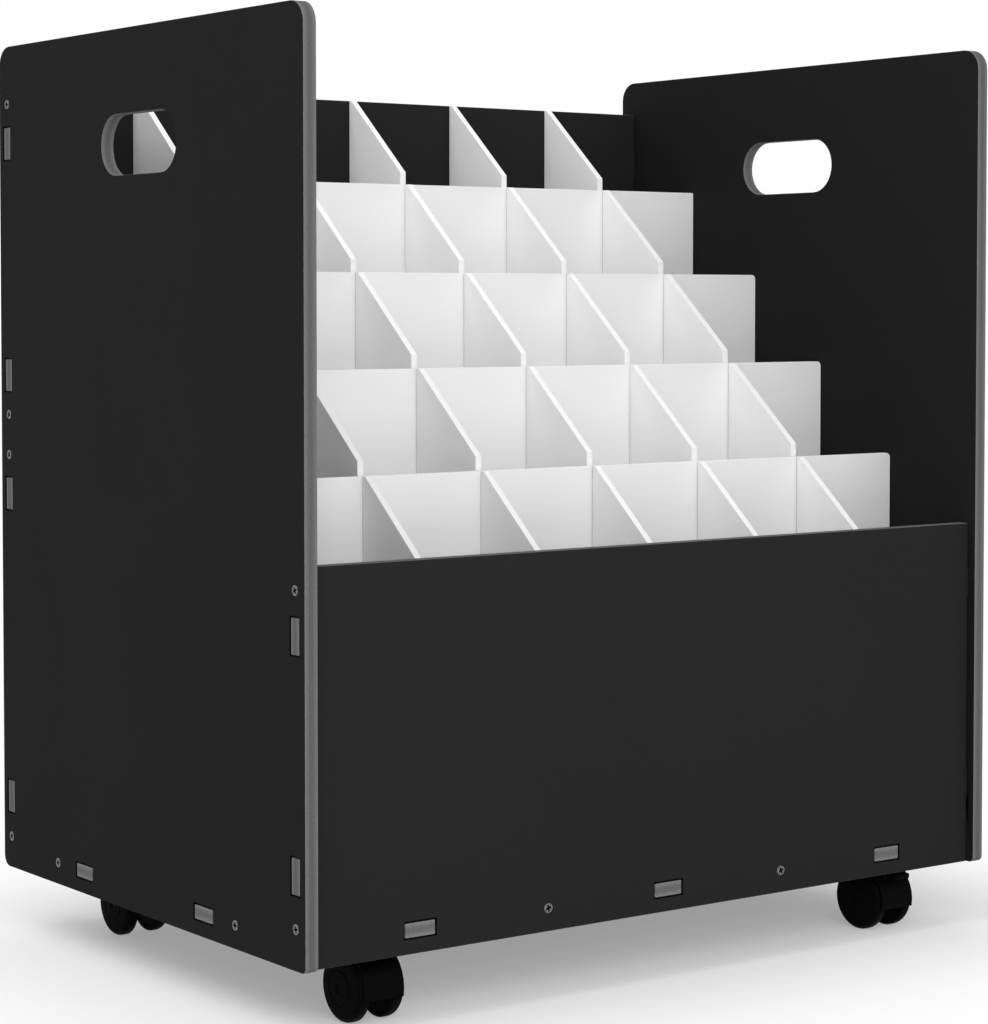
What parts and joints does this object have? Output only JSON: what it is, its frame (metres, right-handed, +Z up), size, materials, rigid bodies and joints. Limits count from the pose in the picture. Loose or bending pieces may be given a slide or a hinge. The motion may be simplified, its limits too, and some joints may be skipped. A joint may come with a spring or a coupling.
{
  "type": "blueprint roll storage cart",
  "caption": "Open-topped case of tabbed boards on swivel casters, with a stepped grid of upright slots that hold rolled drawings on end and a hand-hole in each side.",
  "frame": {"origin": "on the floor, under the middle of the case", "axes": "+X to the right as seen from the front, +Y to the back, +Z up"},
  "size_m": [0.612, 0.43, 0.6683],
  "materials": {
    "black_board": "satin black faces on board with grey edges",
    "white_board": "satin white faces and edges",
    "black_screw": "black coated steel",
    "black_plate": "black coated steel",
    "black_plastic": "moulded, satin",
    "black_wheel": "moulded, satin",
    "axle_steel": "bright drawn steel"
  },
  "bodies": {
    "cart": {"back_screw_1": "black_screw", "back_screw_2": "black_screw", "bottom_panel": "black_board", "cross_divider_1": "white_board", "cross_divider_2": "white_board", "cross_divider_3": "white_board", "cross_divider_4": "white_board", "front_left_caster_plate": "black_plate", "front_panel": "black_board", "front_right_caster_plate": "black_plate", "front_screw_1": "black_screw", "front_screw_2": "black_screw", "left_side_panel": "black_board", "left_side_screw_1": "black_screw", "left_side_screw_2": "black_screw", "left_side_screw_3": "black_screw", "left_side_screw_4": "black_screw", "left_side_screw_5": "black_screw", "left_side_screw_6": "black_screw", "left_side_screw_7": "black_screw", "left_side_screw_8": "black_screw", "long_divider_1": "white_board", "long_divider_2": "white_board", "long_divider_3": "white_board", "long_divider_4": "white_board", "long_divider_5": "white_board", "lower_back_panel": "black_board", "rear_left_caster_plate": "black_plate", "rear_right_caster_plate": "black_plate", "right_side_panel": "black_board", "right_side_screw_1": "black_screw", "right_side_screw_2": "black_screw", "right_side_screw_3": "black_screw", "right_side_screw_4": "black_screw", "right_side_screw_5": "black_screw", "right_side_screw_6": "black_screw", "right_side_screw_7": "black_screw", "right_side_screw_8": "black_screw", "upper_back_panel": "black_board"},
    "front_left_swivel": {"front_left_caster_housing": "black_plastic", "front_left_caster_axle": "axle_steel"},
    "front_left_left_wheel": {"front_left_left_wheel": "black_wheel"},
    "front_left_right_wheel": {"front_left_right_wheel": "black_wheel"},
    "front_right_swivel": {"front_right_caster_housing": "black_plastic", "front_right_caster_axle": "axle_steel"},
    "front_right_left_wheel": {"front_right_left_wheel": "black_wheel"},
    "front_right_right_wheel": {"front_right_right_wheel": "black_wheel"},
    "front_right_brake_lever": {"front_right_brake_lever": "black_plastic"},
    "rear_left_swivel": {"rear_left_caster_housing": "black_plastic", "rear_left_caster_axle": "axle_steel"},
    "rear_left_left_wheel": {"rear_left_left_wheel": "black_wheel"},
    "rear_left_right_wheel": {"rear_left_right_wheel": "black_wheel"},
    "rear_left_brake_lever": {"rear_left_brake_lever": "black_plastic"},
    "rear_right_swivel": {"rear_right_caster_housing": "black_plastic", "rear_right_caster_axle": "axle_steel"},
    "rear_right_left_wheel": {"rear_right_left_wheel": "black_wheel"},
    "rear_right_right_wheel": {"rear_right_right_wheel": "black_wheel"}
  },
  "joints": [
    {"name": "front_left_swivel_turn", "type": "hinge", "parent": "cart", "child": "front_left_swivel", "pos_m": [-0.2335, -0.157, 0.056], "axis": [0, 0, 1], "continuous": true},
    {"name": "front_left_left_wheel_spin", "type": "hinge", "parent": "front_left_swivel", "child": "front_left_left_wheel", "pos_m": [-0.2335, -0.1716, 0.0235], "axis": [1, 0, 0], "continuous": true},
    {"name": "front_left_right_wheel_spin", "type": "hinge", "parent": "front_left_swivel", "child": "front_left_right_wheel", "pos_m": [-0.2335, -0.1716, 0.0235], "axis": [1, 0, 0], "continuous": true},
    {"name": "front_right_swivel_turn", "type": "hinge", "parent": "cart", "child": "front_right_swivel", "pos_m": [0.2335, -0.157, 0.056], "axis": [0, 0, 1], "continuous": true},
    {"name": "front_right_left_wheel_spin", "type": "hinge", "parent": "front_right_swivel", "child": "front_right_left_wheel", "pos_m": [0.2335, -0.1716, 0.0235], "axis": [1, 0, 0], "continuous": true},
    {"name": "front_right_right_wheel_spin", "type": "hinge", "parent": "front_right_swivel", "child": "front_right_right_wheel", "pos_m": [0.2335, -0.1716, 0.0235], "axis": [1, 0, 0], "continuous": true},
    {"name": "front_right_brake_lever_tip", "type": "hinge", "parent": "front_right_swivel", "child": "front_right_brake_lever", "pos_m": [0.2335, -0.19204, 0.04394], "axis": [1, 0, 0], "range_deg": [0, 18]},
    {"name": "rear_left_swivel_turn", "type": "hinge", "parent": "cart", "child": "rear_left_swivel", "pos_m": [-0.2335, 0.157, 0.056], "axis": [0, 0, 1], "continuous": true},
    {"name": "rear_left_left_wheel_spin", "type": "hinge", "parent": "rear_left_swivel", "child": "rear_left_left_wheel", "pos_m": [-0.2335, 0.1424, 0.0235], "axis": [1, 0, 0], "continuous": true},
    {"name": "rear_left_right_wheel_spin", "type": "hinge", "parent": "rear_left_swivel", "child": "rear_left_right_wheel", "pos_m": [-0.2335, 0.1424, 0.0235], "axis": [1, 0, 0], "continuous": true},
    {"name": "rear_left_brake_lever_tip", "type": "hinge", "parent": "rear_left_swivel", "child": "rear_left_brake_lever", "pos_m": [-0.2335, 0.12197, 0.04394], "axis": [1, 0, 0], "range_deg": [0, 18]},
    {"name": "rear_right_swivel_turn", "type": "hinge", "parent": "cart", "child": "rear_right_swivel", "pos_m": [0.2335, 0.157, 0.056], "axis": [0, 0, 1], "continuous": true},
    {"name": "rear_right_left_wheel_spin", "type": "hinge", "parent": "rear_right_swivel", "child": "rear_right_left_wheel", "pos_m": [0.2335, 0.1424, 0.0235], "axis": [1, 0, 0], "continuous": true},
    {"name": "rear_right_right_wheel_spin", "type": "hinge", "parent": "rear_right_swivel", "child": "rear_right_right_wheel", "pos_m": [0.2335, 0.1424, 0.0235], "axis": [1, 0, 0], "continuous": true}
  ]
}
